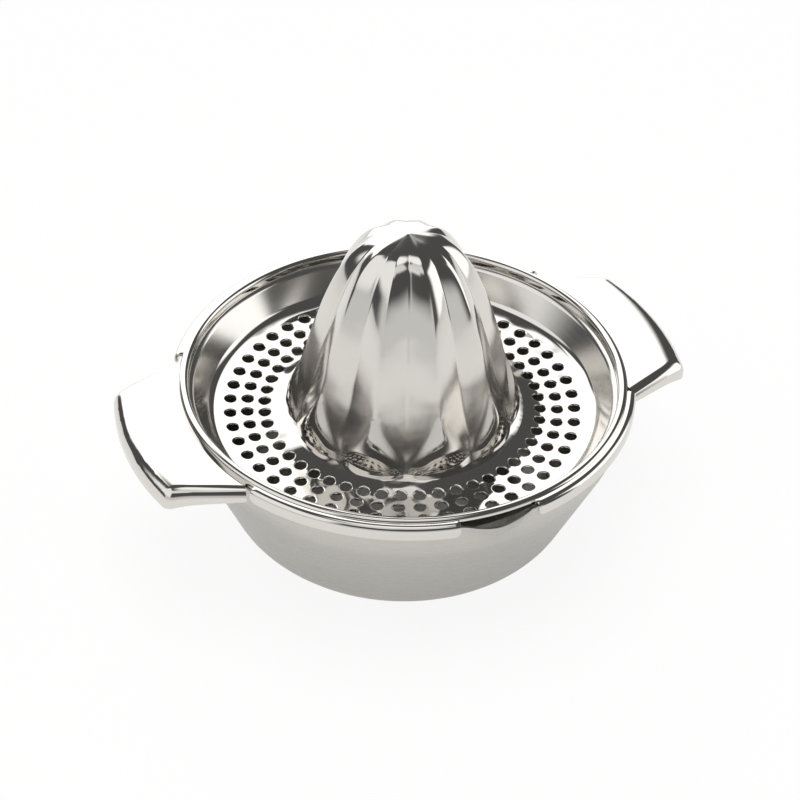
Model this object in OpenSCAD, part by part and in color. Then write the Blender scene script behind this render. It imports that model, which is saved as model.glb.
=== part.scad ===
// Hand citrus juicer in stainless steel. A one-piece juicer top, with a fluted reaming cone, a
// perforated plate, a beaded rim and two ear handles, lies on the rim of a bowl with a pouring lip.
// Millimetres. The origin is the centre of the bowl's base, +Z is up, the handles lie along X and
// the pouring lip points along -Y.

/* [Bowl] */
// Height of the bowl's rim above the table
bowl_h = 43.2; // [36:0.1:52]
// Outer radius of the bowl at its rim
bowl_rim_r = 58.4; // [52:0.1:66]
// Sheet thickness of the bowl
bowl_t = 0.8; // [0.5:0.05:1.1]
// Height of the upright band below the rim
bowl_band_h = 7.8; // [4:0.1:12]
// How far the upright band leans out towards the rim
bowl_band_lean = 0.8; // [0.3:0.1:2]
// Lean of the wall from the vertical, in degrees
bowl_wall_lean = 23.5; // [16:0.5:28]
// Radius of the corner between the wall and the flat base
bowl_corner_r = 16; // [8:0.5:20]

/* [Pouring lip] */
// How far the lip stands out from the rim
lip_out = 2.2; // [1.2:0.1:3]
// How far the lip's edge dips below the rim
lip_dip = 1.0; // [0.4:0.1:2]
// Half the width of the dip at the rim
lip_half_w = 9; // [6:0.5:10]
// Radius of the lip's nose, seen from above
lip_nose_r = 16; // [12:0.5:20]
// Height over which the lip fades into the wall
lip_fade_h = 24; // [16:0.5:26]

/* [Sheet of the juicer top] */
// Sheet thickness of the juicer top
top_t = 0.8; // [0.5:0.05:1]

/* [Rim] */
// Width of the bead, outside to outside
bead_w = 2.5; // [2.3:0.1:3.2]
// Height of the bead's crown above the handles
bead_h = 1.8; // [1.4:0.1:3]
// Width of the ledge inside the bead
ledge_w = 0.9; // [0.5:0.1:1.5]
// How far the ledge lies below the handles
ledge_drop = 0.8; // [0.5:0.1:1.5]
// Gap between the bowl's rim and the inside of the skirt
skirt_gap = 0.9; // [0.5:0.1:1.5]
// How far the skirt's top lies below the bead's crown
skirt_step = 0.6; // [0.3:0.1:1.2]
// Height of the skirt, from its top to its lower edge
skirt_drop = 3.6; // [3:0.1:5]
// Radius of the skirt's outer bend
skirt_bend_r = 1.5; // [1.2:0.1:2.2]
// Radius of the lower corners at the skirt's ends
skirt_end_r = 1.6; // [0.6:0.1:1.8]
// Half the angle of each pouring gap in the skirt, in degrees
gap_half_angle = 9.9; // [9:0.1:14]
// Angle left open beside each handle's root, in degrees
root_notch_angle = 0.9; // [0.5:0.1:2]

/* [Strainer plate] */
// Depth of the perforated plate below the bead's crown
plate_depth = 11.1; // [8:0.1:14]
// How far the plate's edge rises outside the holes
plate_edge_rise = 0.8; // [0.3:0.1:2]
// Width of the wall between the plate and the ledge, seen from above
wall_run = 4.2; // [2.5:0.1:5.5]
// Radius of the bend between the plate and the wall
plate_bend_r = 2.5; // [1.5:0.1:4]
// Distance of the outer ring of holes from the plate's edge
hole_to_wall = 5.3; // [4:0.1:7]
// Distance between the rings of holes
hole_ring_step = 4.5; // [3.8:0.1:5]
// Number of rings of holes
hole_rings = 3; // [1:1:3]
// Number of holes in each ring
holes_per_ring = 48; // [24:1:52]
// Diameter of a punched hole
hole_d = 3; // [2:0.1:3.4]
// Angle by which the rings of holes are turned against each other, in degrees
hole_stagger = 0.65; // [0:0.05:2]

/* [Handles] */
// Radius of the outer edge of the handles, from the juicer's axis
handle_r = 74.7; // [70:0.1:82]
// Half the width of a handle at its root
handle_root_half_w = 28; // [24:0.1:32]
// Half the width of a handle at its outer edge
handle_end_half_w = 21.6; // [16:0.1:24]
// Radius of a handle's rolled-down edge
handle_roll_r = 2; // [1.5:0.1:3]
// Radius of a handle's outer corners, beyond the rolled edge
handle_corner_extra = 1; // [0.5:0.1:4]
// Straight part of the turned-down edge below its roll, at a handle's root
handle_root_straight = 0.4; // [0.2:0.1:2]
// Straight part of the turned-down edge below its roll, at a handle's outer side
handle_end_straight = 2.7; // [0.5:0.1:4]
// How far a handle's outer edge is bent up above its root
handle_lift = 0.7; // [0:0.1:2]

/* [Reaming cone] */
// Height of the cone's tip above the plate
cone_h = 53.9; // [40:0.1:64]
// Clearance between the inner ring of holes and the collar
hole_to_collar = 2.5; // [1:0.1:5]
// Bluntness of the cone: the power by which its radius falls towards the tip
cone_bluntness = 0.342; // [0.3:0.005:0.5]
// Number of lobes
cone_lobes = 10; // [6:1:14]
// Depth of the flutes between the lobes
flute_depth = 2.4; // [1:0.1:4]
// Turn of the first lobe from the handle, in degrees
lobe_turn = -3.7; // [-18:0.1:18]
// Height of the scooped foot of the cone
foot_h = 8; // [5:0.5:12]
// How far the scooped foot stands out
foot_w = 4.3; // [2:0.1:6]
// Width of the collar around the foot
collar_w = 1; // [0.8:0.1:1.6]
// Height of the collar above the plate
collar_h = 0.9; // [0.5:0.1:1.5]

/* [Hidden] */

steel = "silver";
satin_steel = "lightgray";
$fn = 96;
// Steps of a rounded corner
arc_steps = 6;
// Slack by which a cutting tool runs past what it cuts
past = 1;
// Slack by which a hole's cutter runs past the sheet
hole_past = 0.2;
// Smallest radius of a bend's inner face
smallest_bend_r = 0.05;

// Bowl
bowl_band_z = bowl_h - bowl_band_h;
bowl_band_r = bowl_rim_r - bowl_band_lean;
bowl_foot_r = bowl_band_r - bowl_band_z * tan(bowl_wall_lean);
// Radius of the soft bend between the wall and the upright band
bowl_shoulder_bend_r = 20;
bowl_outline = [
    [0, 0],
    [bowl_foot_r, 0],
    [bowl_band_r, bowl_band_z],
    [bowl_rim_r, bowl_h]
];
bowl_bends = [0, bowl_corner_r, bowl_shoulder_bend_r, 0];

// Pouring lip: a cone that starts inside the wall's sheet and opens up to the rim. It leans so
// that its front stands out by the lip's reach and its width is the nose's.
lip_low_z = bowl_h - lip_fade_h;
lip_low_r = bowl_band_r - (bowl_band_z - lip_low_z) * tan(bowl_wall_lean) - bowl_t / 2;
lip_front = bowl_rim_r + lip_out - lip_low_r;
lip_front_angle = atan(lip_front / lip_fade_h);
lip_rear_angle = atan((2 * lip_nose_r - lip_front) / lip_fade_h);
lip_half_angle = (lip_rear_angle + lip_front_angle) / 2;
lip_lean = (lip_rear_angle - lip_front_angle) / 2;
// Length of the lip's cone, as a multiple of the lip's height
lip_cone_reach = 1.6;
lip_cone_h = lip_cone_reach * lip_fade_h;
lip_dip_r = (pow(lip_half_w, 2) + pow(lip_dip, 2)) / (2 * lip_dip);

// Rim of the juicer top. Its flat underside rests on the bowl's rim.
flange_z = bowl_h + top_t;
crown_z = flange_z + bead_h;
// How far the bead's outer leg lies inside the bowl's rim
bead_set_in = 0.5;
bead_out_r = bowl_rim_r - bead_set_in;
bead_in_r = bead_out_r - bead_w;
bead_bend_r = 1.15;
// Clearance between the bead's outer leg and the bowl's rim
bead_leg_clear = 0.15;
bead_leg_z = bowl_h + bead_leg_clear;
skirt_in_r = bowl_rim_r + skirt_gap;
skirt_r = skirt_in_r + top_t;
skirt_top_z = crown_z - skirt_step;
skirt_low_z = skirt_top_z - skirt_drop;
// The pouring slot takes the bead's outer leg away, up to just below the bend at the crown and
// sideways to just behind the skirt's ends
slot_under_bend = 0.15;
slot_past_gap = 0.6;
slot_top_z = crown_z - bead_bend_r - slot_under_bend;
slot_reach = bead_w / 2;
slot_half_angle = gap_half_angle + slot_past_gap;
// Depth by which the skirt and the handles reach into the bead's outer leg
weld_r = bead_out_r - top_t / 2;

// Strainer plate
plate_z = crown_z - plate_depth;
ledge_r = bead_in_r - ledge_w;
plate_r = ledge_r - wall_run;
hole_ring_r = plate_r - hole_to_wall;
// Flat margin outside the outer ring of holes
hole_margin = 0.7;
plate_flat_r = hole_ring_r + hole_d / 2 + hole_margin;
hole_pitch_angle = 360 / holes_per_ring;
// Turn of the first hole from the handle, in degrees
hole_turn = -1.2;

// Cone
cone_base_z = plate_z;
collar_z = cone_base_z + collar_h;
collar_out_r = hole_ring_r - (hole_rings - 1) * hole_ring_step - hole_d / 2 - hole_to_collar;
collar_r = collar_out_r - collar_w;
// Width of the collar's flat top outside the foot
collar_shelf = 0.4;
foot_r = collar_r - collar_shelf;
// How far the foot's edge stands outside the lobes
foot_step = 1.2;
// Radius of the cone's lobes at the level of the plate
cone_r = foot_r - foot_step;
cone_start_z = collar_z - top_t / 2;
hem_in_r = foot_r - 2 * top_t;
// Fall of the ledge towards the wall
ledge_fall = 0.3;
// Bends of the collar's top and foot, of the plate's rising edge, of the ledge and of the bead's root
collar_bend_r = 0.6;
collar_foot_bend_r = 1;
plate_edge_bend_r = 3;
ledge_bend_r = 0.9;
bead_root_bend_r = 0.4;
// The rim and plate of the juicer top, from the collar outwards, as its upper side
top_outline = [
    [hem_in_r, collar_z],
    [collar_r, collar_z],
    [collar_out_r, plate_z],
    [plate_flat_r, plate_z],
    [plate_r, plate_z + plate_edge_rise],
    [ledge_r, flange_z - ledge_drop - ledge_fall],
    [bead_in_r, flange_z - ledge_drop],
    [bead_in_r, crown_z],
    [bead_out_r, crown_z],
    [bead_out_r, bead_leg_z]
];
top_bends = [
    0,
    collar_bend_r,
    collar_foot_bend_r,
    plate_edge_bend_r,
    plate_bend_r,
    ledge_bend_r,
    bead_root_bend_r,
    bead_bend_r,
    bead_bend_r,
    0
];
skirt_outline = [
    [weld_r, skirt_top_z],
    [skirt_r, skirt_top_z],
    [skirt_r, skirt_low_z]
];
skirt_bends = [0, skirt_bend_r, 0];
// How far the arc at a skirt's lower corner crosses the edges that it joins
end_arc_past = 0.05;

// Handles
// How far a handle's root corner lies inside the skirt's outside
handle_root_inset = 0.1;
handle_root_r = skirt_r - handle_root_inset;
handle_root_angle = asin(handle_root_half_w / handle_root_r);
handle_end_angle = asin(handle_end_half_w / handle_r);
handle_corner_r = handle_roll_r + handle_corner_extra;
// Steps of a handle's outer edge and of its roll
handle_steps = 6;
roll_steps = 4;
// How far a handle's seam on the bead ends short of its root corner, in degrees
weld_angle_short = 3;
weld_angle = handle_root_angle - weld_angle_short;

// Cone mesh
lobe_steps = 6;
around = cone_lobes * lobe_steps;
foot_steps = 5;
body_steps = 8;
// How closely the rings crowd towards the tip
ring_crowding = 2.2;
// Softness of the edge between lobes and foot
foot_blend = 0.5;
// Narrowness of the flutes, and the lobe radius, in flute depths, at which they fade out
flute_power = 4;
flute_fade = 5;

// Plane curves

function unit(v) = v / norm(v);
function left_of(v) = [-v[1], v[0]];

// A path moved to its left by d, with mitred corners
function shifted(path, d) = [
    for (i = [0:len(path) - 1]) let(
        before = unit(path[max(i, 1)] - path[max(i, 1) - 1]),
        j = min(i, len(path) - 2),
        after = unit(path[j + 1] - path[j]),
        n = unit(left_of(before) + left_of(after))
    ) path[i] + n * d / (n * left_of(before))
];

// The turn of a path at point i: positive to the left
function turn_at(path, i) = let(
    a = path[i] - path[i - 1],
    b = path[i + 1] - path[i]
) a[0] * b[1] - a[1] * b[0];

// The arc of radius r that rounds the corner q between p and s
function rounded_corner(p, q, s, r) = let(
    a = unit(p - q),
    b = unit(s - q),
    half = acos(a * b) / 2,
    c = q + unit(a + b) * r / sin(half),
    from = q + a * r / tan(half) - c,
    to = q + b * r / tan(half) - c,
    start = atan2(from[1], from[0]),
    sweep = atan2(from[0] * to[1] - from[1] * to[0], from * to)
) [for (k = [0:arc_steps]) c + r * [cos(start + sweep * k / arc_steps), sin(start + sweep * k / arc_steps)]];

// A path with its corners rounded, each by its own radius
function rounded(path, radii) = [
    for (i = [0:len(path) - 1])
        each radii[i] > 0 ? rounded_corner(path[i - 1], path[i], path[i + 1], radii[i]) : [path[i]]
];

// The bends of the same sheet on its other face, d to the left
function other_bends(path, radii, d) = [
    for (i = [0:len(radii) - 1])
        radii[i] == 0 ? 0 : max(radii[i] - sign(turn_at(path, i)) * d, smallest_bend_r)
];

function reversed(list) = [for (i = [len(list) - 1:-1:0]) list[i]];

// A sheet of thickness t on the left of a path, revolved about Z through the angle
module revolved_sheet(path, radii, t, angle = 360) {
    rotate_extrude(angle = angle)
        polygon(concat(
            rounded(path, radii),
            reversed(rounded(shifted(path, t), other_bends(path, radii, t)))
        ));
}

// Meshes

// Faces of a closed sheet: two grids of n by m points, the second under the first
function sheet_faces(n, m) = let(o = n * m) concat(
    [for (i = [0:n - 2], j = [0:m - 2]) let(a = i * m + j, b = a + m) each [
        [a, b, a + 1],
        [a + 1, b, b + 1],
        [o + a, o + a + 1, o + b],
        [o + a + 1, o + b + 1, o + b]
    ]],
    [for (i = [0:n - 2]) let(a = i * m, b = a + m, c = a + m - 1, d = b + m - 1) each [
        [b, a, o + a],
        [b, o + a, o + b],
        [c, d, o + c],
        [d, o + d, o + c]
    ]],
    [for (j = [0:m - 2]) let(a = j, b = (n - 1) * m + j) each [
        [a, a + 1, o + a],
        [a + 1, o + a + 1, o + a],
        [b + 1, b, o + b],
        [b + 1, o + b, o + b + 1]
    ]]
);

// Faces of a dome: rings of n points each, closed by a last single point, seen from outside
function dome_faces(n, rings, first) = concat(
    [for (k = [0:rings - 2], i = [0:n - 1]) let(
        a = first + k * n + i,
        b = first + k * n + (i + 1) % n
    ) each [[a, a + n, b], [b, a + n, b + n]]],
    [for (i = [0:n - 1]) [
        first + (rings - 1) * n + i,
        first + rings * n,
        first + (rings - 1) * n + (i + 1) % n
    ]]
);

// Sub-parts

// The bowl's whole body
module bowl_body() {
    rotate_extrude()
        polygon(concat(rounded(bowl_outline, bowl_bends), [[0, bowl_h]]));
}

// The space inside the bowl's wall, open past the rim
module bowl_inside() {
    line = rounded(shifted(bowl_outline, bowl_t), other_bends(bowl_outline, bowl_bends, bowl_t));
    rotate_extrude()
        polygon(concat(line, [[line[len(line) - 1][0], bowl_h + past], [0, bowl_h + past]]));
}

// The lip's cone, from the wall up past the rim
module lip_cone() {
    translate([0, -lip_low_r, lip_low_z])
        rotate([-lip_lean, 0, 0])
            cylinder(h = lip_cone_h, r1 = 0, r2 = lip_cone_h * tan(lip_half_angle));
}

module bowl() {
    color(satin_steel)
        difference() {
            union() {
                bowl_body();
                intersection() {
                    lip_cone();
                    translate([0, 0, lip_low_z])
                        cylinder(h = lip_fade_h, r = bowl_rim_r + lip_out + past);
                }
            }
            bowl_inside();
            translate([0, bowl_t / cos(bowl_wall_lean), 0])
                lip_cone();
            translate([0, -lip_low_r / 2, bowl_h + lip_dip_r - lip_dip])
                rotate([90, 0, 0])
                    cylinder(h = bowl_rim_r, r = lip_dip_r);
        }
}

module strainer_holes() {
    for (ring = [0:hole_rings - 1], i = [0:holes_per_ring - 1])
        rotate([0, 0, hole_turn + i * hole_pitch_angle + (ring % 2) * hole_stagger])
            translate([hole_ring_r - ring * hole_ring_step, 0, plate_z - top_t - hole_past])
                cylinder(h = top_t + 2 * hole_past, d = hole_d);
}

// Cuts the bead's outer leg away between the skirt's ends, above one pouring lip
module pouring_slot() {
    rotate([0, 0, -90 - slot_half_angle])
        rotate_extrude(angle = 2 * slot_half_angle)
            translate([bead_out_r - slot_reach, bead_leg_z - past])
                square([slot_reach + past, slot_top_z - bead_leg_z + past]);
}

// The collar, plate, wall and bead, with their holes
module strainer() {
    difference() {
        revolved_sheet(top_outline, top_bends, -top_t);
        strainer_holes();
        for (end = [0, 180])
            rotate([0, 0, end])
                pouring_slot();
    }
}

// Rounds the lower corner of a skirt's end that lies at angle 0
module skirt_end_cut() {
    translate([skirt_in_r - past, 0, skirt_low_z])
        rotate([90, 0, 90])
            linear_extrude(top_t + 2 * past)
                difference() {
                    translate([-past, -past])
                        square(skirt_end_r + past);
                    translate((skirt_end_r - end_arc_past) * [1, 1])
                        circle(r = skirt_end_r);
                }
}

// One skirt segment between a pouring gap and a handle's root
module skirt_segment() {
    span = 90 - gap_half_angle - handle_root_angle - root_notch_angle;
    difference() {
        revolved_sheet(skirt_outline, skirt_bends, -top_t, span);
        skirt_end_cut();
        rotate([0, 0, span])
            mirror([0, 1, 0])
                skirt_end_cut();
    }
}

module skirt() {
    for (side = [0, 1], end = [0, 1])
        mirror([side, 0, 0])
            mirror([0, end, 0])
                rotate([0, 0, handle_root_angle + root_notch_angle])
                    skirt_segment();
}

// The plan of the handle's edge, from one root round to the other
handle_plan = let(
    corner = handle_r * [cos(handle_end_angle), sin(handle_end_angle)],
    root = handle_root_r * [cos(handle_root_angle), sin(handle_root_angle)],
    edge = [for (k = [1:handle_steps - 1]) let(a = handle_end_angle * (2 * k / handle_steps - 1))
        handle_r * [cos(a), sin(a)]]
) concat(
    [[root[0], -root[1]]],
    rounded_corner([root[0], -root[1]], [corner[0], -corner[1]], edge[0], handle_corner_r),
    edge,
    rounded_corner(edge[len(edge) - 1], corner, root, handle_corner_r),
    [root]
);

// Depth of the turned-down edge at point i of the plan
function handle_depth(i) = handle_roll_r
    + (i == 0 || i == len(handle_plan) - 1 ? handle_root_straight : handle_end_straight);

// Rise of the bent-up handle at a point of the plan
function handle_rise(p) = handle_lift * max(norm(p) - skirt_r, 0) / (handle_r - skirt_r);

// One face of the handle's sheet: its points from the rim out over the rolled edge, for each
// point of the plan. The inset is 0 on the upper side and the thickness on the lower.
function handle_face(inset) = let(
    n = len(handle_plan),
    bend_r = handle_roll_r - inset,
    rolls = [for (k = [0:roll_steps]) let(a = 90 * k / roll_steps) [
        shifted(handle_plan, inset + bend_r * (1 - sin(a))),
        inset + bend_r * (1 - cos(a))
    ]],
    low = shifted(handle_plan, inset)
) [for (i = [0:n - 1]) let(a = weld_angle * (2 * i / (n - 1) - 1)) each concat(
    [[weld_r * cos(a), weld_r * sin(a), flange_z - inset]],
    [for (roll = rolls) let(p = roll[0][i]) [p[0], p[1], flange_z + handle_rise(p) - roll[1]]],
    [[low[i][0], low[i][1], flange_z + handle_rise(low[i]) - handle_depth(i)]]
)];

module handle() {
    polyhedron(
        points = concat(handle_face(0), handle_face(top_t)),
        faces = sheet_faces(len(handle_plan), roll_steps + 3)
    );
}

// Radius of the cone at a direction and a height above its base. The lobes end in points where
// they run into the scooped foot.
function cone_radius(direction, h, inset) = let(
    rise = min(max(h / (cone_h - inset), 0), 1),
    lobe = (cone_r - inset) * pow(1 - rise, cone_bluntness),
    flute = pow(cos(cone_lobes * (direction - lobe_turn) / 2 + 90), flute_power),
    depth = flute_depth * (1 - exp(-pow(lobe / (flute_fade * flute_depth), 2))),
    body = lobe - depth * flute,
    foot = foot_r - inset - foot_w * sin(90 * min(max((h - collar_h) / foot_h, 0), 1)),
    apart = body - foot
) h > collar_h + foot_h ? body : (body + foot + sqrt(apart * apart + foot_blend * foot_blend)) / 2;

// Heights of the cone's rings: close together in the foot and towards the tip
function cone_heights(inset) = let(
    first = cone_start_z - cone_base_z,
    foot_top = collar_h + foot_h
) concat(
    [for (k = [0:foot_steps - 1]) first + (foot_top - first) * k / foot_steps],
    [for (k = [0:body_steps - 1])
        let(w = 1 - k / body_steps)
        foot_top + (cone_h - inset - foot_top) * (1 - pow(w, ring_crowding))]
);

function cone_face(inset) = concat(
    [for (h = cone_heights(inset), i = [0:around - 1])
        let(a = 360 * i / around, r = cone_radius(a, h, inset))
        [r * cos(a), r * sin(a), cone_base_z + h]],
    [[0, 0, cone_base_z + cone_h - inset]]
);

module reaming_cone() {
    rings = foot_steps + body_steps;
    inner = rings * around + 1;
    polyhedron(
        points = concat(cone_face(0), cone_face(top_t)),
        faces = concat(
            dome_faces(around, rings, 0),
            [for (f = dome_faces(around, rings, inner)) reversed(f)],
            [for (i = [0:around - 1]) let(j = (i + 1) % around) each [
                [i, j, inner + i],
                [j, inner + j, inner + i]
            ]]
        )
    );
}

module juicer_top() {
    color(steel)
        union() {
            strainer();
            skirt();
            handle();
            rotate([0, 0, 180])
                handle();
            reaming_cone();
        }
}

bowl();
juicer_top();
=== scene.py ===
"""Looks of a hand citrus juicer: a pressed steel reamer and strainer that lies on a steel bowl.

The pieces are modelled in millimetres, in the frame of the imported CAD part, and written in metres.
"""

import logging
import math
from collections.abc import Callable, Sequence
from dataclasses import dataclass, field
from enum import Enum

import bmesh
import bpy
from bmesh.types import BMEdge, BMesh, BMVert
from mathutils import Matrix, Vector


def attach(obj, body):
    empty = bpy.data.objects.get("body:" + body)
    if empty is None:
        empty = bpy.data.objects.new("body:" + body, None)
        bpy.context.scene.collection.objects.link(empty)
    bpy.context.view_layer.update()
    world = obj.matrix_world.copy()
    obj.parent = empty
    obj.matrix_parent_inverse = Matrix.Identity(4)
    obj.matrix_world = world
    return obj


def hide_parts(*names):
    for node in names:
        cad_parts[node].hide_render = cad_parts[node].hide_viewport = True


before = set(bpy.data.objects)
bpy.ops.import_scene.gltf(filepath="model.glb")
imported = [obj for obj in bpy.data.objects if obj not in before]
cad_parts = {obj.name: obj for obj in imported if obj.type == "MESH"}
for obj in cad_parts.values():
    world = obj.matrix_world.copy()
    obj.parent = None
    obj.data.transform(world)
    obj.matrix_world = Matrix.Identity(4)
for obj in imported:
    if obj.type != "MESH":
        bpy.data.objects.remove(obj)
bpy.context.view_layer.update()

MM = 0.001
UP = Vector((0.0, 0.0, 1.0))
# Points of every full ring, so that the rings share their points
RING_STEPS = 240
MERGE_MM = 0.002
# Slack within which two lengths count as the same
SAME_MM = 1e-4
# Angles above which an edge counts as a sheet's cut edge, and above which it shades as hard
CUT_EDGE = math.radians(50)
HARD_EDGE = math.radians(42)
# Height of the waves and of the drawn lines in the steel, as a share of their spacing
WAVE_RISE = 0.1
LINE_RISE = 0.2
# The part of a noise's range that most of its values lie in
NOISE_LOW, NOISE_HIGH = 0.3, 0.7

log = logging.getLogger("juicer")


class Body(Enum):
    """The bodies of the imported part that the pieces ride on."""

    BOWL = "bowl"
    TOP = "juicer_top"


class Slot(Enum):
    """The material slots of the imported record."""

    BOWL = "bowl_steel"
    TOP = "top_steel"


# Colours and nodes


def srgb(hex_colour: str) -> tuple[float, float, float, float]:
    """Turn an sRGB hex colour into linear values.

    Args:
        hex_colour: The colour as #RRGGBB.

    Returns:
        Red, green, blue and alpha, linear.
    """
    channels = [int(hex_colour[i : i + 2], 16) / 255 for i in (1, 3, 5)]
    linear = [c / 12.92 if c <= 0.04045 else ((c + 0.055) / 1.055) ** 2.4 for c in channels]
    return (*linear, 1.0)


def add_node(tree: bpy.types.NodeTree, kind: str, inputs: dict | None = None, **settings) -> bpy.types.Node:
    """Add a node with its settings, values and links.

    Args:
        tree: The node tree that takes the node.
        kind: The node's type name.
        inputs: Socket name or number to a value, or to the socket that feeds it.
        **settings: Properties of the node itself.

    Returns:
        The new node.
    """
    node = tree.nodes.new(kind)
    for name, value in settings.items():
        setattr(node, name, value)
    for key, value in (inputs or {}).items():
        if isinstance(value, bpy.types.NodeSocket):
            tree.links.new(value, node.inputs[key])
        else:
            node.inputs[key].default_value = value
    return node


# Meshes


def bent_wire(
    bm: BMesh, points: Sequence[tuple[float, float]], bends: Sequence[float], segments: int = 8,
) -> None:
    """Draw a wire in the XZ plane and bend its corners round.

    Args:
        bm: The mesh that takes the wire.
        points: Radius and height of each corner.
        bends: Bend radius at each corner, 0 for a sharp one or an end.
        segments: Segments of each bend.
    """
    corners = [bm.verts.new((r, 0.0, z)) for r, z in points]
    for pair in zip(corners, corners[1:]):
        bm.edges.new(pair)
    for corner, radius in zip(corners, bends):
        if radius:
            before, after = (e.other_vert(corner).co - corner.co for e in corner.link_edges)
            turn = math.pi - before.angle(after)
            bmesh.ops.bevel(
                bm, geom=[corner], offset=radius * math.tan(turn / 2), offset_type="OFFSET",
                affect="VERTICES", segments=segments, profile=0.5, material=-1,
            )


def spin_wire(bm: BMesh, start: float = 0.0, angle: float = 2 * math.pi, steps: int = RING_STEPS) -> None:
    """Turn all of a mesh's wires about the Z axis into a sheet.

    Args:
        bm: The mesh that holds the wires.
        start: Angle at which the sheet starts.
        angle: Angle through which it turns.
        steps: Number of steps of the turn.
    """
    full = math.isclose(angle, 2 * math.pi)
    bmesh.ops.rotate(bm, verts=bm.verts, cent=(0, 0, 0), matrix=Matrix.Rotation(start, 3, "Z"))
    bmesh.ops.spin(
        bm, geom=bm.verts[:] + bm.edges[:], cent=(0, 0, 0), axis=UP, angle=angle, steps=steps,
        use_merge=full,
    )
    bmesh.ops.remove_doubles(bm, verts=bm.verts, dist=MERGE_MM)


def polar(co: Vector) -> tuple[float, float]:
    """Radius and angle of a point about the Z axis."""
    return math.hypot(co.x, co.y), math.atan2(co.y, co.x)


def set_polar(co: Vector, radius: float, angle: float) -> None:
    """Move a point to a radius and an angle about the Z axis."""
    co.x, co.y = radius * math.cos(angle), radius * math.sin(angle)


def ease(x: float) -> float:
    """A smooth step from 0 to 1 as x goes from 0 to 1."""
    x = min(max(x, 0.0), 1.0)
    return x * x * (3 - 2 * x)


def soft_max(a: float, b: float, softness: float) -> float:
    """The larger of two lengths, with the crossing rounded off."""
    return (a + b + math.sqrt((a - b) ** 2 + softness**2)) / 2


def thicken(bm: BMesh, thickness: float, edge_radius: float) -> None:
    """Give a sheet its thickness, to the inside, and soften its cut edges.

    Args:
        bm: The mesh of the sheet's outer side, with its normals outwards.
        thickness: The sheet's thickness.
        edge_radius: Radius of the softened edges.
    """
    bmesh.ops.solidify(bm, geom=bm.faces[:], thickness=thickness)
    if edge_radius:
        cut = [e for e in bm.edges if len(e.link_faces) == 2 and e.calc_face_angle() > CUT_EDGE]
        bmesh.ops.bevel(
            bm, geom=cut, offset=edge_radius, offset_type="OFFSET", affect="EDGES",
            segments=2, profile=0.5, material=-1, clamp_overlap=True,
        )


def face_towards(bm: BMesh, outwards: Callable[[Vector], Vector]) -> None:
    """Turn an open sheet so that its normals point to its outer side.

    Args:
        bm: The mesh of the sheet.
        outwards: Gives, for a face's middle, a direction on the sheet's outer side.
    """
    bmesh.ops.recalc_face_normals(bm, faces=bm.faces)
    largest = max(bm.faces, key=lambda f: f.calc_area())
    if largest.normal.dot(outwards(largest.calc_center_median())) < 0:
        bmesh.ops.reverse_faces(bm, faces=bm.faces)


def as_piece(bm: BMesh, name: str, body: Body, node: str) -> bpy.types.Object:
    """Write a mesh as a piece that rides on a body and stands for a CAD node.

    Args:
        bm: The finished mesh, in millimetres.
        name: The piece's name.
        body: The body that it rides on.
        node: The CAD node that it stands for.

    Returns:
        The piece's object.
    """
    bmesh.ops.scale(bm, verts=bm.verts, vec=(MM, MM, MM))
    for face in bm.faces:
        face.smooth = True
    mesh = bpy.data.meshes.new(name)
    bm.to_mesh(mesh)
    bm.free()
    mesh.set_sharp_from_angle(angle=HARD_EDGE)
    piece = bpy.data.objects.new(name, mesh)
    bpy.context.scene.collection.objects.link(piece)
    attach(piece, body.value)
    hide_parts(node)
    return piece


# Finishes


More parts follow.
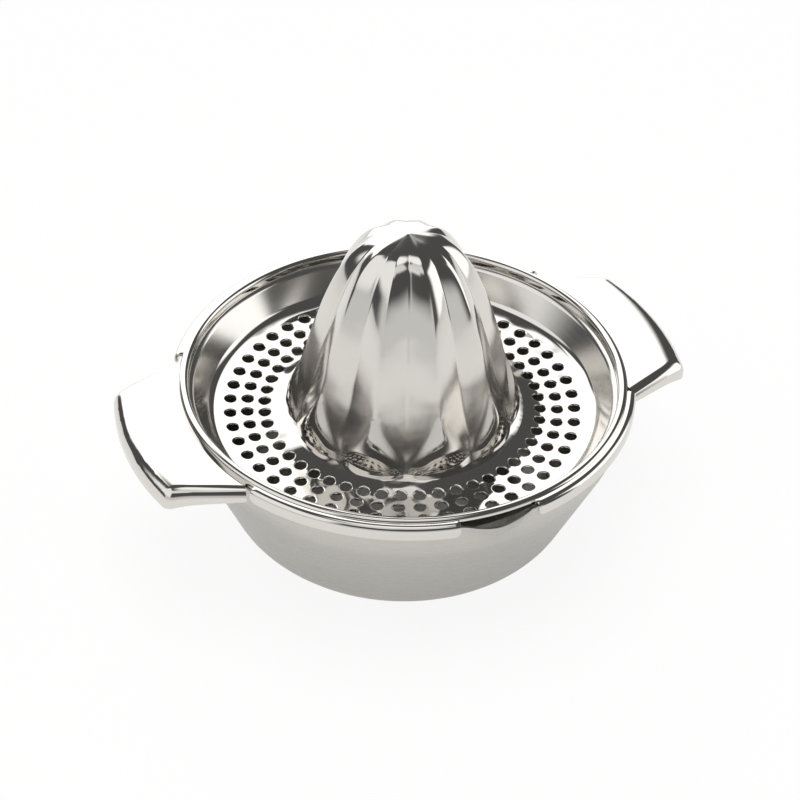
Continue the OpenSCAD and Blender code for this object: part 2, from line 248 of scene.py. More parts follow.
@dataclass(frozen=True)
class Steel:
    """Stainless steel sheet with fine drawn lines around the axis and a slight waviness.

    Attributes:
        name: The material's name.
        colour: Colour of the metal's reflection.
        roughness: Roughness of the even surface.
        satin_roughness: Roughness where the piece's satin attribute is 1.
        line_mm: Spacing of the drawn lines.
        line_depth: Strength of the drawn lines' bump.
        wave_mm: Spacing of the waves that pressing leaves in the sheet.
        wave_depth: Strength of the waves' bump where the piece's dented attribute is 1.
        rub_mm: Spacing of the fingered and rubbed places.
        spread: Share by which the roughness varies either way.
    """

    name: str
    colour: str
    roughness: float
    satin_roughness: float
    line_mm: float
    line_depth: float
    wave_mm: float = 13.0
    wave_depth: float = 0.0
    rub_mm: float = 6.0
    spread: float = 0.15

    def varied(
        self, tree: bpy.types.NodeTree, noise: bpy.types.NodeSocket, middle: float,
    ) -> bpy.types.NodeSocket:
        """Add the node for a roughness that a noise varies.

        Args:
            tree: The node tree that takes the node.
            noise: The noise.
            middle: The roughness that it varies about.

        Returns:
            The socket with the roughness.
        """
        return add_node(
            tree, "ShaderNodeMapRange",
            {"Value": noise, "From Min": NOISE_LOW, "From Max": NOISE_HIGH,
             "To Min": (1 - self.spread) * middle, "To Max": (1 + self.spread) * middle},
        ).outputs["Result"]

    def material(self) -> bpy.types.Material:
        """Make the material.

        Returns:
            The new material.
        """
        material = bpy.data.materials.new(self.name)
        material.use_nodes = True
        tree = material.node_tree
        tree.nodes.clear()
        place = add_node(tree, "ShaderNodeTexCoord").outputs["Object"]
        satin = add_node(tree, "ShaderNodeAttribute", attribute_name="satin").outputs["Fac"]
        # Drawn lines: noise that runs on the radius and the height only
        apart = add_node(tree, "ShaderNodeSeparateXYZ", {0: place})
        flat = add_node(tree, "ShaderNodeCombineXYZ", {"X": apart.outputs["X"], "Y": apart.outputs["Y"]})
        radius = add_node(tree, "ShaderNodeVectorMath", {0: flat.outputs[0]}, operation="LENGTH")
        across = add_node(
            tree, "ShaderNodeCombineXYZ", {"X": radius.outputs["Value"], "Y": apart.outputs["Z"]},
        )
        lines = add_node(
            tree, "ShaderNodeTexNoise",
            {"Vector": across.outputs[0], "Scale": 1 / (self.line_mm * MM), "Detail": 3.0, "Roughness": 0.6},
        ).outputs["Fac"]
        waves = add_node(
            tree, "ShaderNodeTexNoise",
            {"Vector": place, "Scale": 1 / (self.wave_mm * MM), "Detail": 1.0, "Roughness": 0.4},
        ).outputs["Fac"]
        # Fingered and rubbed places a few millimetres wide
        rubbed = add_node(
            tree, "ShaderNodeTexNoise",
            {"Vector": place, "Scale": 1 / (self.rub_mm * MM), "Detail": 4.0, "Roughness": 0.65},
        ).outputs["Fac"]
        even = self.varied(tree, rubbed, self.roughness)
        brushed = self.varied(tree, lines, self.satin_roughness)
        roughness = add_node(
            tree, "ShaderNodeMix", {"Factor": satin, "A": even, "B": brushed}, data_type="FLOAT",
        ).outputs["Result"]
        dented = add_node(tree, "ShaderNodeAttribute", attribute_name="dented").outputs["Fac"]
        wave_strength = add_node(
            tree, "ShaderNodeMath", {0: dented, 1: self.wave_depth}, operation="MULTIPLY",
        ).outputs[0]
        line_strength = add_node(
            tree, "ShaderNodeMath", {0: satin, 1: self.line_depth}, operation="MULTIPLY",
        ).outputs[0]
        wavy = add_node(
            tree, "ShaderNodeBump",
            {"Strength": wave_strength, "Distance": self.wave_mm * MM * WAVE_RISE, "Height": waves},
        ).outputs["Normal"]
        bump = add_node(
            tree, "ShaderNodeBump",
            {"Strength": line_strength, "Distance": self.line_mm * MM * LINE_RISE,
             "Height": lines, "Normal": wavy},
        ).outputs["Normal"]
        shader = add_node(
            tree, "ShaderNodeBsdfPrincipled",
            {"Base Color": srgb(self.colour), "Metallic": 1.0, "Roughness": roughness, "Normal": bump},
        )
        add_node(tree, "ShaderNodeOutputMaterial", {"Surface": shader.outputs["BSDF"]})
        return material


# Stainless steel, deep-drawn and satin: soft grey reflections with faint lines round the bowl
SATIN_BOWL = Steel(
    name="stainless_steel_drawn_satin", colour="#C6C3BE", roughness=0.2, satin_roughness=0.3,
    line_mm=0.5, line_depth=0.05,
)
# Stainless steel, pressed and mirror polished, with satin flutes: hard white and dark reflections
POLISHED_TOP = Steel(
    name="stainless_steel_pressed_polished", colour="#DAD7D2", roughness=0.06, satin_roughness=0.18,
    line_mm=0.45, line_depth=0.03, wave_mm=13, wave_depth=0.9,
)


def paint(bm: BMesh, name: str, share: Callable[[Vector], float]) -> None:
    """Write a share from 0 to 1 as an attribute of the mesh's points.

    Args:
        bm: The mesh.
        name: The attribute's name.
        share: Gives the share at a point.
    """
    layer = bm.verts.layers.float.get(name) or bm.verts.layers.float.new(name)
    for vert in bm.verts:
        vert[layer] = share(vert.co)


# Sub-assemblies


@dataclass
class Bowl:
    """The bowl: flat base, leaning wall, upright band and a pouring lip, in millimetres."""

    height: float = 43.2
    rim_r: float = 58.4
    sheet: float = 0.8
    band_h: float = 7.8
    band_lean: float = 0.8
    wall_lean: float = math.radians(23.5)
    corner_r: float = 16.0
    shoulder_r: float = 20.0
    lip_out: float = 2.1
    lip_dip: float = 1.0
    lip_half_w: float = 9.0
    lip_nose_r: float = 16.0
    lip_fade_h: float = 24.0
    lip_softness: float = 0.5
    # Angle on either side of the lip within which the wall can be pulled out
    lip_reach: float = math.pi / 4
    edge_r: float = 0.2
    bend_segments: int = 14
    # Edges of the profile longer than this are cut into shorter ones
    long_edge: float = 4.0
    edge_cuts: int = 8
    # Height of a point on the axis that the bowl's outer side faces away from
    centre_z: float = 60.0

    def wall_radius(self, z: float) -> float:
        """Outer radius of the wall at a height, its bends left out."""
        band_z = self.height - self.band_h
        if z > band_z:
            return self.rim_r - self.band_lean * (self.height - z) / self.band_h
        return self.rim_r - self.band_lean - (band_z - z) * math.tan(self.wall_lean)

    def pull_lip(self, bm: BMesh) -> None:
        """Pull the pouring lip out of the wall, along a cone that opens up to the rim.

        Args:
            bm: The mesh of the bowl's outer side.
        """
        low_z = self.height - self.lip_fade_h
        low_r = self.wall_radius(low_z) - self.sheet / 2
        front_slope = (self.rim_r + self.lip_out - low_r) / self.lip_fade_h
        for vert in bm.verts:
            radius, angle = polar(vert.co)
            off = angle + math.pi / 2
            if vert.co.z <= low_z or abs(off) > self.lip_reach:
                continue
            near_rim = ease(1 + (vert.co.z - self.height) / self.lip_half_w)
            vert.co.z -= self.lip_dip * ease(1 - abs(vert.co.x) / self.lip_half_w) * near_rim
            rise = vert.co.z - low_z
            nose = rise * self.lip_nose_r / self.lip_fade_h
            middle = low_r + rise * front_slope - nose
            inside = nose**2 - (middle * math.sin(off)) ** 2
            if inside > 0:
                reach = middle * math.cos(off) + math.sqrt(inside)
                set_polar(vert.co, soft_max(radius, reach, self.lip_softness), angle)

    def build(self) -> bpy.types.Object:
        """Model the bowl.

        Returns:
            The bowl's piece.
        """
        band_z = self.height - self.band_h
        band_r = self.rim_r - self.band_lean
        foot_r = band_r - band_z * math.tan(self.wall_lean)
        bm = bmesh.new()
        bent_wire(
            bm, [(0.0, 0.0), (foot_r, 0.0), (band_r, band_z), (self.rim_r, self.height)],
            [0.0, self.corner_r, self.shoulder_r, 0.0], segments=self.bend_segments,
        )
        long_edges = [e for e in bm.edges if e.calc_length() > self.long_edge]
        bmesh.ops.subdivide_edges(bm, edges=long_edges, cuts=self.edge_cuts)
        spin_wire(bm, start=-math.pi / 2)
        face_towards(bm, lambda co: Vector((co.x, co.y, co.z - self.centre_z)))
        self.pull_lip(bm)
        thicken(bm, self.sheet, self.edge_r)
        for vert in bm.verts:
            vert.co.z = min(vert.co.z, self.height)
        paint(bm, "satin", lambda co: 1.0)
        return as_piece(bm, "bowl_shell", Body.BOWL, "bowl")


@dataclass
class ReamingCone:
    """The reaming cone: ridges, V-shaped flutes that end in a point, and a toe under each ridge.

    It is a radius for each direction and height above the plate, in millimetres.
    """

    height: float = 53.9
    ridge_r: float = 29.4
    bluntness: float = 0.342
    point: float = 0.08
    # How abruptly the ridges' line turns into the rounded point, and the height at which it stops
    point_power: float = 4.0
    top_share: float = 0.9999
    ridges: int = 10
    turn: float = math.radians(14.55)
    ridge_softness: float = 0.07
    flute_depth: float = 2.4
    flute_fade: float = 6.5
    flute_full_h: float = 20.0
    flute_end_h: float = 3.0
    flute_end_depth: float = 0.9
    foot_h: float = 0.67
    foot_r: float = 30.6
    foot_flute_r: float = 29.0
    toe_h: float = 19.0
    toe_taper: float = 1.8
    toe_bulge: float = 1.7
    toe_softness: float = 0.2
    # Share of a toe's height at which its soft edge is cut off, and its least width
    toe_trim: float = 0.01
    toe_least_w: float = 1e-3
    bulge_h: float = 19.0
    bulge_full_h: float = 5.0
    satin_edge: float = 0.3
    satin_top_h: float = 22.0
    satin_fade_h: float = 18.0
    tip_satin: float = 0.3

    def ridge_share(self, angle: float) -> float:
        """Share of the way from the nearest ridge, 0, to the middle of its flute, 1."""
        pitch = 2 * math.pi / self.ridges
        return abs((angle - self.turn + pitch / 2) % pitch - pitch / 2) / (pitch / 2)

    def ridge_line(self, h: float) -> float:
        """Radius of the ridges at a height."""
        left = 1 - min(max(h / self.height, 0.0), self.top_share)
        power = self.point_power
        blend = left ** (-power * self.bluntness) + (self.point / left) ** power
        return self.ridge_r * blend ** (-1 / power)

    def toe_line(self, h: float) -> float:
        """Radius of the middle of a toe at a height."""
        bulge = self.toe_bulge * ease((self.bulge_h - h) / (self.bulge_h - self.bulge_full_h))
        return min(self.ridge_line(h) + bulge, self.foot_r)

    def toe_width(self, h: float) -> float:
        """Share of the half pitch that a toe takes at a height."""
        up = (self.toe_h - h) / (self.toe_h - self.flute_end_h)
        return min(max(up, 0.0), 1.0) ** self.toe_taper

    def fluted(self, share: float, h: float) -> float:
        """Radius of the ridges and flutes, without the toes."""
        ridge = self.ridge_line(h)
        full = ease((h - self.flute_end_h) / (self.flute_full_h - self.flute_end_h))
        depth = self.flute_end_depth + (self.flute_depth - self.flute_end_depth) * full
        depth *= 1 - math.exp(-((ridge / (self.flute_fade * self.flute_depth)) ** 2))
        soft = self.ridge_softness + self.toe_width(h)
        return ridge - depth * (math.hypot(share, soft) - soft) / (math.hypot(1.0, soft) - soft)

    def radius(self, angle: float, h: float) -> float:
        """Radius of the cone with its toes at a direction and a height above the plate."""
        share = self.ridge_share(angle)
        end = max(h, self.flute_end_h)
        down = (end - h) / (self.flute_end_h - self.foot_h)
        flute = self.fluted(share, end) + (self.foot_flute_r - self.fluted(1.0, end)) * down * share**2
        across = share / max(self.toe_width(h), self.toe_least_w)
        rise = max(self.toe_line(h) - self.fluted(0.0, end), 0.0)
        mound = soft_max(1 - across**2, 0.0, self.toe_softness)
        return flute + rise * max(mound - self.toe_trim, 0.0)

    def satin(self, angle: float, h: float) -> float:
        """How satin the cone is: full in the flutes, less up to the tip and none on the toes."""
        top = 1 - (1 - self.tip_satin) * ease((h - self.satin_top_h) / self.satin_fade_h)
        return top * ease((self.ridge_share(angle) - self.toe_width(h)) / self.satin_edge + 1)


@dataclass
class Strainer:
    """The pressed sheet of the juicer top: cone, collar, perforated plate, wall and bead."""

    cone: ReamingCone = field(default_factory=ReamingCone)
    sheet: float = 0.8
    plate_z: float = 34.7
    dish: float = 0.06
    ring_r: float = 45.0
    ring_step: float = 4.5
    rings: int = 3
    holes: int = 48
    hole_d: float = 3.0
    hole_turn: float = math.radians(-1.2)
    hole_stagger: float = math.radians(0.65)
    hole_roll: float = 0.25
    hole_flat: float = 0.2
    hole_segments: int = 20
    collar_r: float = 31.6
    slope_r: float = 36.5
    slope_h: float = 1.3
    slope_power: float = 1.2
    slope_steps: int = 6
    collar_step: float = 0.1
    collar_bend_r: float = 0.5
    cone_rows: int = 96
    # Share of even spacing in the cone's rows, their crowding to the tip, and where the last one lies
    row_evenness: float = 0.35
    row_crowding: float = 1.5
    last_row: float = 0.999
    plate_r: float = 50.3
    plate_edge_rise: float = 0.3
    plate_bend_r: float = 2.5
    ledge_bend_r: float = 2.0
    bead_root_bend_r: float = 0.4
    wall_top_r: float = 54.5
    ledge_z: float = 42.9
    bead_in_r: float = 55.4
    bead_out_r: float = 57.9
    bead_root_z: float = 43.2
    crown_z: float = 45.8
    bead_end_z: float = 43.35
    bead_bend_r: float = 1.15
    slot_half: float = math.radians(10.5)
    # How far inside the bead's outer radius a face still counts as its outer leg
    leg_slack: float = 0.2
    seam: float = 0.02
    wall_satin: float = 0.8
    wall_satin_h: float = 2.0
    # Width of the plate's edge that has no dents, and the dents' share on the cone
    even_edge_w: float = 2.0
    cone_dents: float = 0.35

    def plate_height(self, radius: float) -> float:
        """Height of the dished plate at a radius, with the slope that rises to the collar."""
        slope = max(0.0, (self.slope_r - radius) / (self.slope_r - self.collar_r))
        dished = self.dish * (radius - (self.ring_r - self.ring_step))
        return self.plate_z + dished + self.slope_h * slope**self.slope_power

    def hole_cell(self, bm: BMesh, ring: int) -> None:
        """Add one hole with the piece of plate around it, bent to its ring.

        Args:
            bm: The mesh that takes the cell.
            ring: The ring's number, from the outermost inwards.
        """
        old = set(bm.verts)
        ring_r = self.ring_r - ring * self.ring_step
        pitch = 2 * math.pi / self.holes
        side = self.hole_segments // 4
        bmesh.ops.create_grid(bm, x_segments=side, y_segments=side, size=0.5)
        grid = [v for v in bm.verts if v not in old]
        bmesh.ops.delete(bm, geom=[v for v in grid if not v.is_boundary], context="VERTS")
        border = [v for v in bm.verts if v not in old]
        bmesh.ops.scale(bm, verts=border, vec=(pitch * ring_r, self.ring_step, 1.0))
        border_edges = list({e for v in border for e in v.link_edges})
        circle = bmesh.ops.create_circle(
            bm, cap_ends=False, segments=self.hole_segments,
            radius=self.hole_d / 2 + self.hole_roll + self.hole_flat,
        )["verts"]
        offset = (ring % 2) * self.hole_stagger * ring_r
        bmesh.ops.translate(bm, verts=circle, vec=(offset, 0.0, 0.0))
        edges = list({e for v in circle for e in v.link_edges})
        bmesh.ops.bridge_loops(bm, edges=border_edges + edges)
        # The punch draws the hole's edge down in a small roll, inside a flat ring
        for share in (0.0, 0.5, 1.0):
            made = bmesh.ops.extrude_edge_only(bm, edges=edges)["geom"]
            lip = [g for g in made if isinstance(g, BMVert)]
            edges = [g for g in made if isinstance(g, BMEdge) and all(v in lip for v in g.verts)]
            size = self.hole_d / 2 + self.hole_roll * (1 - math.sin(math.pi / 2 * share))
            middle = Vector((offset, 0.0, 0.0))
            for vert in lip:
                flat = vert.co.xy - middle.xy
                vert.co.xy = middle.xy + flat.normalized() * size
                vert.co.z = -self.hole_roll * (1 - math.cos(math.pi / 2 * share))
        for vert in bm.verts:
            if vert not in old:
                radius, angle = ring_r + vert.co.y, self.hole_turn - vert.co.x / ring_r
                set_polar(vert.co, radius, angle)
                vert.co.z += self.plate_height(radius)

    def perforated_plate(self, bm: BMesh) -> None:
        """Add the rings of holes with the plate between them."""
        for ring in range(self.rings):
            self.hole_cell(bm, ring)
        step = 2 * math.pi / self.holes
        bmesh.ops.spin(
            bm, geom=bm.verts[:] + bm.edges[:] + bm.faces[:], cent=(0, 0, 0), axis=UP,
            angle=step * (self.holes - 1), steps=self.holes - 1, use_duplicate=True,
        )

    def rim_sheet(self, bm: BMesh, start: float) -> None:
        """Add the plate's edge, the wall, the ledge and the bead."""
        wire = bmesh.new()
        edge_r = self.ring_r + self.ring_step / 2
        bent_wire(
            wire,
            [
                (edge_r, self.plate_height(edge_r)),
                (self.plate_r, self.plate_height(self.plate_r) + self.plate_edge_rise),
                (self.wall_top_r, self.ledge_z),
                (self.bead_in_r, self.bead_root_z),
                (self.bead_in_r, self.crown_z),
                (self.bead_out_r, self.crown_z),
                (self.bead_out_r, self.bead_end_z),
            ],
            [
                0.0, self.plate_bend_r, self.ledge_bend_r, self.bead_root_bend_r,
                self.bead_bend_r, self.bead_bend_r, 0.0,
            ],
        )
        spin_wire(wire, start=start)
        # The pouring slots: no outer leg between the ends of the skirt
        slot_z = self.crown_z - self.bead_bend_r
        middles = ((f, f.calc_center_median()) for f in wire.faces)
        leg = [
            face for face, middle in middles
            if middle.z < slot_z and middle.xy.length > self.bead_out_r - self.leg_slack
            and abs(math.cos(polar(middle)[1])) < math.sin(self.slot_half)
        ]
        bmesh.ops.delete(wire, geom=leg, context="FACES")
        self.join(bm, wire)

    def cone_sheet(self, bm: BMesh, start: float) -> None:
        """Add the slope, the collar and the fluted cone."""
        cone = self.cone
        edge_r = self.ring_r - (self.rings - 0.5) * self.ring_step
        collar_z = self.plate_height(self.collar_r) + self.collar_step
        apex_z = self.plate_z + cone.height
        wire = bmesh.new()
        steps = self.slope_steps
        radii = [edge_r + (self.collar_r - edge_r) * i / steps for i in range(steps + 1)]
        bent_wire(
            wire, [*((r, self.plate_height(r)) for r in radii), (cone.foot_r, collar_z)],
            [0.0] * steps + [self.collar_bend_r, 0.0],
        )
        # The cone's own line: many points up the axis, close together at the foot and the tip
        low = min(wire.verts, key=lambda v: v.co.x)
        tip = wire.verts.new((0.0, 0.0, apex_z))
        line = wire.edges.new((low, tip))
        made = bmesh.ops.subdivide_edges(wire, edges=[line], cuts=self.cone_rows)["geom_inner"]
        even = self.row_evenness
        for vert in (g for g in made if isinstance(g, BMVert)):
            share = (vert.co.z - collar_z) / (apex_z - collar_z)
            eased = even * share + (1 - even) * (1 - math.cos(math.pi * share)) / 2
            up = (1 - (1 - eased) ** self.row_crowding) * self.last_row
            vert.co.z = collar_z + (apex_z - collar_z) * up
        spin_wire(wire, start=start)
        for vert in wire.verts:
            h = vert.co.z - self.plate_z
            at_foot = abs(vert.co.z - collar_z) < SAME_MM and vert.co.xy.length < cone.foot_r + SAME_MM
            if (at_foot or vert.co.z > collar_z) and vert.co.z < apex_z - SAME_MM:
                angle = math.atan2(vert.co.y, vert.co.x)
                set_polar(vert.co, cone.radius(angle, h), angle)
        self.join(bm, wire)

    @staticmethod
    def join(bm: BMesh, part: BMesh) -> None:
        """Add a part's mesh to the sheet and free it."""
        mesh = bpy.data.meshes.new("part")
        part.to_mesh(mesh)
        part.free()
        bm.from_mesh(mesh)
        bpy.data.meshes.remove(mesh)

    def satin(self, co: Vector) -> float:
        """How satin the sheet is at a point."""
        radius, angle = polar(co)
        if radius > self.cone.foot_r:
            up = (co.z - self.plate_height(self.plate_r)) / self.wall_satin_h
            return self.wall_satin * ease(up) * (radius < self.bead_in_r)
        return self.cone.satin(angle, co.z - self.plate_z)

    def dented(self, co: Vector) -> float:
        """How dented the sheet is at a point: most on the perforated plate, a little on the cone."""
        radius = co.xy.length
        if radius > self.plate_r - self.even_edge_w:
            return 0.0
        return 1.0 if radius > self.collar_r else self.cone_dents

    def build(self) -> bpy.types.Object:
        """Model the sheet.

        Returns:
            The piece.
        """
        bm = bmesh.new()
        self.perforated_plate(bm)
        start = self.hole_turn + math.pi / RING_STEPS
        self.rim_sheet(bm, start)
        self.cone_sheet(bm, start)
        bmesh.ops.remove_doubles(bm, verts=bm.verts, dist=self.seam)
        face_towards(bm, lambda co: UP)
        paint(bm, "satin", self.satin)
        paint(bm, "dented", self.dented)
        thicken(bm, self.sheet, 0.0)
        return as_piece(bm, "strainer_sheet", Body.TOP, "juicer_top")


@dataclass
class Skirt:
    """The four turned-down lengths of the rim between the pouring gaps and the handles."""

    sheet: float = 0.8
    weld_r: float = 57.5
    flange_z: float = 45.2
    outer_r: float = 60.1
    low_z: float = 41.6
    bend_r: float = 1.5
    end_r: float = 1.6
    gap_half: float = math.radians(9.9)
    root_angle: float = math.radians(27.82)
    notch: float = math.radians(0.9)
    edge_r: float = 0.15
    bend_segments: int = 10
    leg_cuts: int = 8
    arc_steps: int = 40
    # Upward part of the direction that the skirt's outer side faces
    outside_z: float = 30.0

    def build(self) -> bpy.types.Object:
        """Model the skirt.

        Returns:
            The piece.
        """
        start = self.root_angle + self.notch
        span = math.pi / 2 - self.gap_half - start
        bm = bmesh.new()
        bent_wire(
            bm, [(self.weld_r, self.flange_z), (self.outer_r, self.flange_z), (self.outer_r, self.low_z)],
            [0.0, self.bend_r, 0.0], segments=self.bend_segments,
        )
        leg = [e for e in bm.edges if abs(e.verts[0].co.x - e.verts[1].co.x) < SAME_MM]
        bmesh.ops.subdivide_edges(bm, edges=leg, cuts=self.leg_cuts)
        spin_wire(bm, start=start, angle=span, steps=self.arc_steps)
        # Round the lower corners: each row ends a little short of the end
        for vert in bm.verts:
            under = self.low_z + self.end_r - vert.co.z
            if under > 0:
                short = (self.end_r - math.sqrt(max(self.end_r**2 - under**2, 0.0))) / self.outer_r
                radius, angle = polar(vert.co)
                middle = start + span / 2
                set_polar(vert.co, radius, middle + (angle - middle) * (1 - 2 * short / span))
        face_towards(bm, lambda co: Vector((co.x, co.y, self.outside_z)))
        thicken(bm, self.sheet, self.edge_r)
        for axis in ("X", "Y"):
            bmesh.ops.mirror(bm, geom=bm.verts[:] + bm.edges[:] + bm.faces[:], axis=axis, merge_dist=-1.0)
        bmesh.ops.recalc_face_normals(bm, faces=bm.faces)
        return as_piece(bm, "rim_skirt", Body.TOP, "juicer_top")


class Side(Enum):
    """The two ends of the juicer's long axis, by the handle's direction."""

    RIGHT = 0.0
    LEFT = math.pi


@dataclass
class Handle:
    """An ear handle: a flat sheet with a rolled and turned-down edge."""

    side: Side
    sheet: float = 0.8
    weld_r: float = 57.5
    weld_angle: float = math.radians(24.82)
    flange_z: float = 44.0
    root_r: float = 60.0
    root_half_w: float = 28.0
    outer_r: float = 74.7
    end_half_w: float = 21.6
    roll_r: float = 3.0
    corner_r: float = 3.0
    root_straight: float = 0.2
    end_straight: float = 1.5
    lift: float = 0.7
    droop: float = 1.3
    droop_w: float = 7.0
    rim_r: float = 60.1
    edge_r: float = 0.15
    outer_steps: int = 14
    weld_steps: int = 24
    corner_segments: int = 5
    roll_segments: int = 10
    inset: float = 0.3
    # How far inside the outer edge the turned-down edge reaches its full depth
    full_depth_in: float = 3.0
    cuts_out: int = 12
    cuts_side: int = 8

    def build(self) -> bpy.types.Object:
        """Model the handle.

        Returns:
            The piece.
        """
        root_angle = math.asin(self.root_half_w / self.root_r)
        end_angle = math.asin(self.end_half_w / self.outer_r)
        bm = bmesh.new()

        def arc(radius: float, half: float, steps: int) -> tuple[BMVert, BMVert]:
            """Add an arc about the axis; gives its first and last points."""
            first = bm.verts.new((radius * math.cos(half), -radius * math.sin(half), self.flange_z))
            last = bmesh.ops.spin(
                bm, geom=[first], cent=(0, 0, 0), axis=UP, angle=2 * half, steps=steps,
            )["geom_last"]
            return first, next(g for g in last if isinstance(g, BMVert))

        outer_first, outer_last = arc(self.outer_r, end_angle, self.outer_steps)
        roots = [
            bm.verts.new((self.root_r * math.cos(root_angle), sign * self.root_half_w, self.flange_z))
            for sign in (-1, 1)
        ]
        bm.edges.new((roots[0], outer_first))
        bm.edges.new((outer_last, roots[1]))
        for corner in (outer_first, outer_last):
            sides = [e.other_vert(corner).co - corner.co for e in corner.link_edges]
            turn = math.pi - sides[0].angle(sides[1])
            bmesh.ops.bevel(
                bm, geom=[corner], offset=self.corner_r * math.tan(turn / 2), offset_type="OFFSET",
                affect="VERTICES", segments=self.corner_segments, profile=0.5, material=-1,
                clamp_overlap=False,
            )
        plan = bm.edges[:]
        made = bmesh.ops.extrude_edge_only(bm, edges=plan)["geom"]
        low = [g for g in made if isinstance(g, BMVert)]
        root_x = self.root_r * math.cos(root_angle)
        for vert in low:
            share = ease((vert.co.x - root_x) / (self.outer_r - root_x - self.full_depth_in))
            straight = self.root_straight + (self.end_straight - self.root_straight) * share
            vert.co.z -= self.roll_r + straight
        weld_first, weld_last = arc(self.weld_r, self.weld_angle, self.weld_steps)
        bm.edges.new((weld_first, roots[0]))
        bm.edges.new((weld_last, roots[1]))
        border = [e for e in bm.edges if all(abs(v.co.z - self.flange_z) < SAME_MM for v in e.verts)]
        bmesh.ops.contextual_create(bm, geom=border)
        bmesh.ops.recalc_face_normals(bm, faces=bm.faces)
        bmesh.ops.bevel(
            bm, geom=[e for e in plan if e.is_valid], offset=self.roll_r, offset_type="OFFSET",
            affect="EDGES", segments=self.roll_segments, profile=0.5, material=-1, clamp_overlap=False,
        )
        top = max(bm.faces, key=lambda f: f.calc_area())
        bmesh.ops.inset_region(bm, faces=[top], thickness=self.inset)
        # A grid of cuts, so that the droop can follow the curved edge
        reach = self.droop_w + self.outer_r * (1 - math.cos(end_angle))
        cuts = [
            (Vector((self.outer_r - reach * i / self.cuts_out, 0.0, 0.0)), (1.0, 0.0, 0.0))
            for i in range(self.cuts_out + 1)
        ]
        cuts += [
            (Vector((0.0, self.end_half_w * i / self.cuts_side, 0.0)), (0.0, 1.0, 0.0))
            for i in range(1 - self.cuts_side, self.cuts_side)
        ]
        for place, across in cuts:
            bmesh.ops.bisect_plane(
                bm, geom=bm.verts[:] + bm.edges[:] + bm.faces[:], plane_co=place, plane_no=across,
            )
        face_towards(bm, lambda co: UP)
        thicken(bm, self.sheet, self.edge_r)
        for vert in bm.verts:
            out = polar(vert.co)[0] - self.rim_r
            vert.co.z += self.lift * max(out, 0.0) / (self.outer_r - self.rim_r)
            near_end = max(1 + (out + self.rim_r - self.outer_r) / self.droop_w, 0.0)
            vert.co.z -= self.droop * near_end**2
        turn = Matrix.Rotation(self.side.value, 3, "Z")
        bmesh.ops.rotate(bm, verts=bm.verts, cent=(0, 0, 0), matrix=turn)
        return as_piece(bm, f"handle_{self.side.name.lower()}", Body.TOP, "juicer_top")


# Studio


@dataclass(frozen=True)
class Patch:
    """A soft-edged rectangular patch of the room's wall, as seen from the juicer, in degrees.

    Attributes:
        azimuth: First and last azimuth, from straight away from the camera to the right.
        elevation: Lowest and highest elevation.
        soft: Width of its soft edge.
        level: Its brightness.
    """

    azimuth: tuple[float, float]
    elevation: tuple[float, float]
    soft: float
    level: float


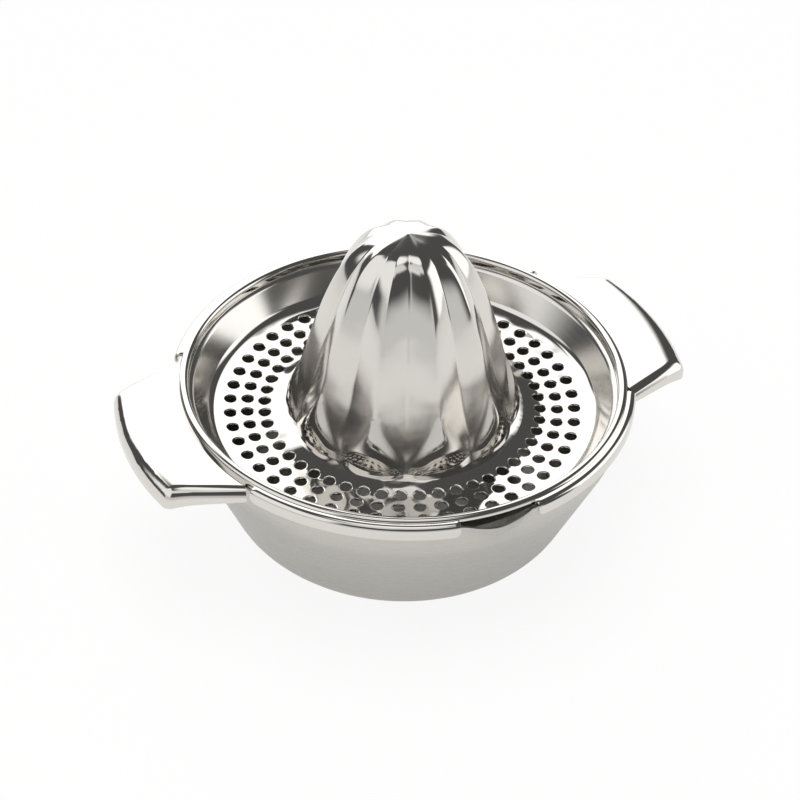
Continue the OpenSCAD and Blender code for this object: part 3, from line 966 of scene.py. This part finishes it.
@dataclass
class Studio:
    """The white table, the patches of light around it and the camera at the photograph's place."""

    azimuth: float = math.radians(24.2)
    elevation: float = math.radians(38.81)
    roll: float = -0.0329
    distance: float = 532.0
    aim: tuple[float, float, float] = (0.0, 0.0, 35.0)
    shift_right: float = -0.71
    shift_up: float = 0.82
    lens: float = 91.5
    sensor: float = 36.0
    clip: tuple[float, float] = (0.01, 20.0)
    table_r: float = 3.0
    table_segments: int = 64
    table_colour: str = "#F4F4F2"
    # How much of the table shows as plain white to the camera and in the steel's reflections
    seen_share: float = 0.9
    shone_share: float = 0.4
    lamp_height: float = 1.2
    lamp_size: float = 1.0
    lamp_watts: float = 8.0
    room_level: float = 0.09
    patches: tuple[Patch, ...] = (
        # White sweep behind
        Patch(azimuth=(-44, 13), elevation=(-10, 32), soft=6, level=1.75),
        Patch(azimuth=(-55, 13), elevation=(24, 48), soft=6, level=1.75),
        # Large softbox on the left
        Patch(azimuth=(-150, -76), elevation=(14, 62), soft=10, level=1.1),
        Patch(azimuth=(-178, -76), elevation=(50, 66), soft=8, level=1.1),
        # Strip light on the right
        Patch(azimuth=(54, 98), elevation=(-4, 38), soft=8, level=1.5),
        # White fill card, low in front
        Patch(azimuth=(118, 250), elevation=(-20, 18), soft=16, level=0.75),
        # Soft light overhead, reaching down over the camera
        Patch(azimuth=(-200, 200), elevation=(76, 110), soft=8, level=1.25),
        Patch(azimuth=(140, 220), elevation=(55, 75), soft=8, level=0.9),
    )

    def axes(self) -> tuple[Vector, Vector, Vector]:
        """Right, up and forward of the level camera."""
        a, e = self.azimuth, self.elevation
        forward = Vector((math.sin(a) * math.cos(e), math.cos(a) * math.cos(e), -math.sin(e)))
        right = Vector((math.cos(a), -math.sin(a), 0.0))
        return right, right.cross(forward), forward

    def camera(self) -> None:
        """Place the camera."""
        right, up, forward = self.axes()
        shift = self.shift_right * right + self.shift_up * up
        place = Vector(self.aim) - self.distance * forward + shift
        c, s = math.cos(self.roll), math.sin(self.roll)
        rows = (c * right - s * up, s * right + c * up, -forward)
        data = bpy.data.cameras.new("camera")
        data.lens, data.sensor_width = self.lens, self.sensor
        data.clip_start, data.clip_end = self.clip
        camera = bpy.data.objects.new("camera", data)
        camera.matrix_world = Matrix.Translation(place * MM) @ Matrix(rows).transposed().to_4x4()
        bpy.context.scene.collection.objects.link(camera)
        bpy.context.scene.camera = camera

    def floor(self) -> None:
        """Lay the white table, which shows as the white background and keeps the juicer's shadow."""
        bm = bmesh.new()
        bmesh.ops.create_circle(bm, cap_ends=True, segments=self.table_segments, radius=self.table_r)
        mesh = bpy.data.meshes.new("table")
        bm.to_mesh(mesh)
        bm.free()
        table = bpy.data.objects.new("table", mesh)
        bpy.context.scene.collection.objects.link(table)
        material = bpy.data.materials.new("white_card_matt")
        material.use_nodes = True
        tree = material.node_tree
        tree.nodes.clear()
        path = add_node(tree, "ShaderNodeLightPath").outputs
        card = add_node(tree, "ShaderNodeBsdfDiffuse", {"Color": srgb(self.table_colour)})
        white = add_node(tree, "ShaderNodeEmission", {"Color": (1.0, 1.0, 1.0, 1.0), "Strength": 1.0})
        seen = add_node(
            tree, "ShaderNodeMath", {0: path["Is Camera Ray"], 1: path["Is Transmission Ray"]},
            operation="MAXIMUM",
        )
        seen = add_node(
            tree, "ShaderNodeMath", {0: seen.outputs[0], 1: self.seen_share}, operation="MULTIPLY",
        )
        shone = add_node(
            tree, "ShaderNodeMath", {0: path["Is Glossy Ray"], 1: self.shone_share}, operation="MULTIPLY",
        )
        share = add_node(
            tree, "ShaderNodeMath", {0: seen.outputs[0], 1: shone.outputs[0]}, operation="MAXIMUM",
        )
        mix = add_node(
            tree, "ShaderNodeMixShader", {0: share.outputs[0], 1: card.outputs[0], 2: white.outputs[0]},
        )
        add_node(tree, "ShaderNodeOutputMaterial", {"Surface": mix.outputs[0]})
        mesh.materials.append(material)

    def world(self) -> None:
        """Set the room: a dark studio with bright and dark patches around the juicer."""
        world = bpy.data.worlds.new("studio")
        bpy.context.scene.world = world
        world.use_nodes = True
        tree = world.node_tree
        tree.nodes.clear()
        way = add_node(tree, "ShaderNodeTexCoord").outputs["Generated"]
        right, _, forward = self.axes()
        away = Vector((forward.x, forward.y, 0.0)).normalized()
        sideways, onwards, upwards = (
            add_node(
                tree, "ShaderNodeVectorMath", {0: way, 1: axis}, operation="DOT_PRODUCT",
            ).outputs["Value"]
            for axis in (right, away, UP)
        )
        azimuth = add_node(tree, "ShaderNodeMath", {0: sideways, 1: onwards}, operation="ARCTAN2").outputs[0]
        elevation = add_node(tree, "ShaderNodeMath", {0: upwards}, operation="ARCSINE").outputs[0]
        room: float | bpy.types.NodeSocket = self.room_level
        for patch in self.patches:
            across = self.inside(tree, azimuth, patch.azimuth, patch.soft)
            along = self.inside(tree, elevation, patch.elevation, patch.soft)
            share = add_node(tree, "ShaderNodeMath", {0: across, 1: along}, operation="MULTIPLY").outputs[0]
            room = add_node(
                tree, "ShaderNodeMix", {"Factor": share, "A": room, "B": patch.level}, data_type="FLOAT",
            ).outputs["Result"]
        path = add_node(tree, "ShaderNodeLightPath").outputs
        strength = add_node(
            tree, "ShaderNodeMix", {"Factor": path["Is Camera Ray"], "A": room, "B": 1.0}, data_type="FLOAT",
        ).outputs["Result"]
        light = add_node(tree, "ShaderNodeBackground", {"Color": (1.0, 1.0, 1.0, 1.0), "Strength": strength})
        add_node(tree, "ShaderNodeOutputWorld", {"Surface": light.outputs[0]})

    def table_lamp(self) -> None:
        """Hang a wide lamp that lights the table from above and isn't mirrored in the steel."""
        data = bpy.data.lights.new("table_lamp", "AREA")
        data.shape, data.size, data.energy = "DISK", self.lamp_size, self.lamp_watts
        lamp = bpy.data.objects.new("table_lamp", data)
        lamp.location = (0.0, 0.0, self.lamp_height)
        lamp.visible_camera = lamp.visible_glossy = False
        bpy.context.scene.collection.objects.link(lamp)

    @staticmethod
    def inside(
        tree: bpy.types.NodeTree, angle: bpy.types.NodeSocket, limits: tuple[float, float], soft: float,
    ) -> bpy.types.NodeSocket:
        """Add the nodes for how far an angle lies inside two limits.

        Args:
            tree: The node tree that takes the nodes.
            angle: The angle, in radians.
            limits: The two limits, in degrees.
            soft: Width of the soft step at each limit, in degrees.

        Returns:
            The socket with the share, 0 outside and 1 inside.
        """
        first, last = (math.radians(limit) for limit in limits)
        off = add_node(tree, "ShaderNodeMath", {0: angle, 1: (first + last) / 2}, operation="SUBTRACT")
        turned = add_node(
            tree, "ShaderNodeMath", {0: off.outputs[0], 1: math.pi, 2: -math.pi}, operation="WRAP",
        )
        away = add_node(tree, "ShaderNodeMath", {0: turned.outputs[0]}, operation="ABSOLUTE")
        half, edge = (last - first) / 2, math.radians(soft) / 2
        return add_node(
            tree, "ShaderNodeMapRange",
            {"Value": away.outputs[0], "From Min": half + edge, "From Max": half - edge},
            interpolation_type="SMOOTHSTEP",
        ).outputs["Result"]

    def build(self) -> None:
        """Set the stage, the light and the camera."""
        self.camera()
        self.floor()
        self.world()
        self.table_lamp()
        bpy.context.scene.view_settings.view_transform = "Standard"


def main() -> None:
    """Build the pieces, dress them and set the studio."""
    logging.basicConfig(level=logging.INFO, format="%(name)s: %(message)s")
    satin, polished = SATIN_BOWL.material(), POLISHED_TOP.material()
    dressed = [
        (Bowl().build(), satin),
        (Strainer().build(), polished),
        (Skirt().build(), polished),
        (Handle(Side.RIGHT).build(), polished),
        (Handle(Side.LEFT).build(), polished),
    ]
    for piece, material in dressed:
        piece.data.materials.append(material)
        log.info("%s: %d faces, %s", piece.name, len(piece.data.polygons), material.name)
    Studio().build()


if __name__ == "__main__":
    main()
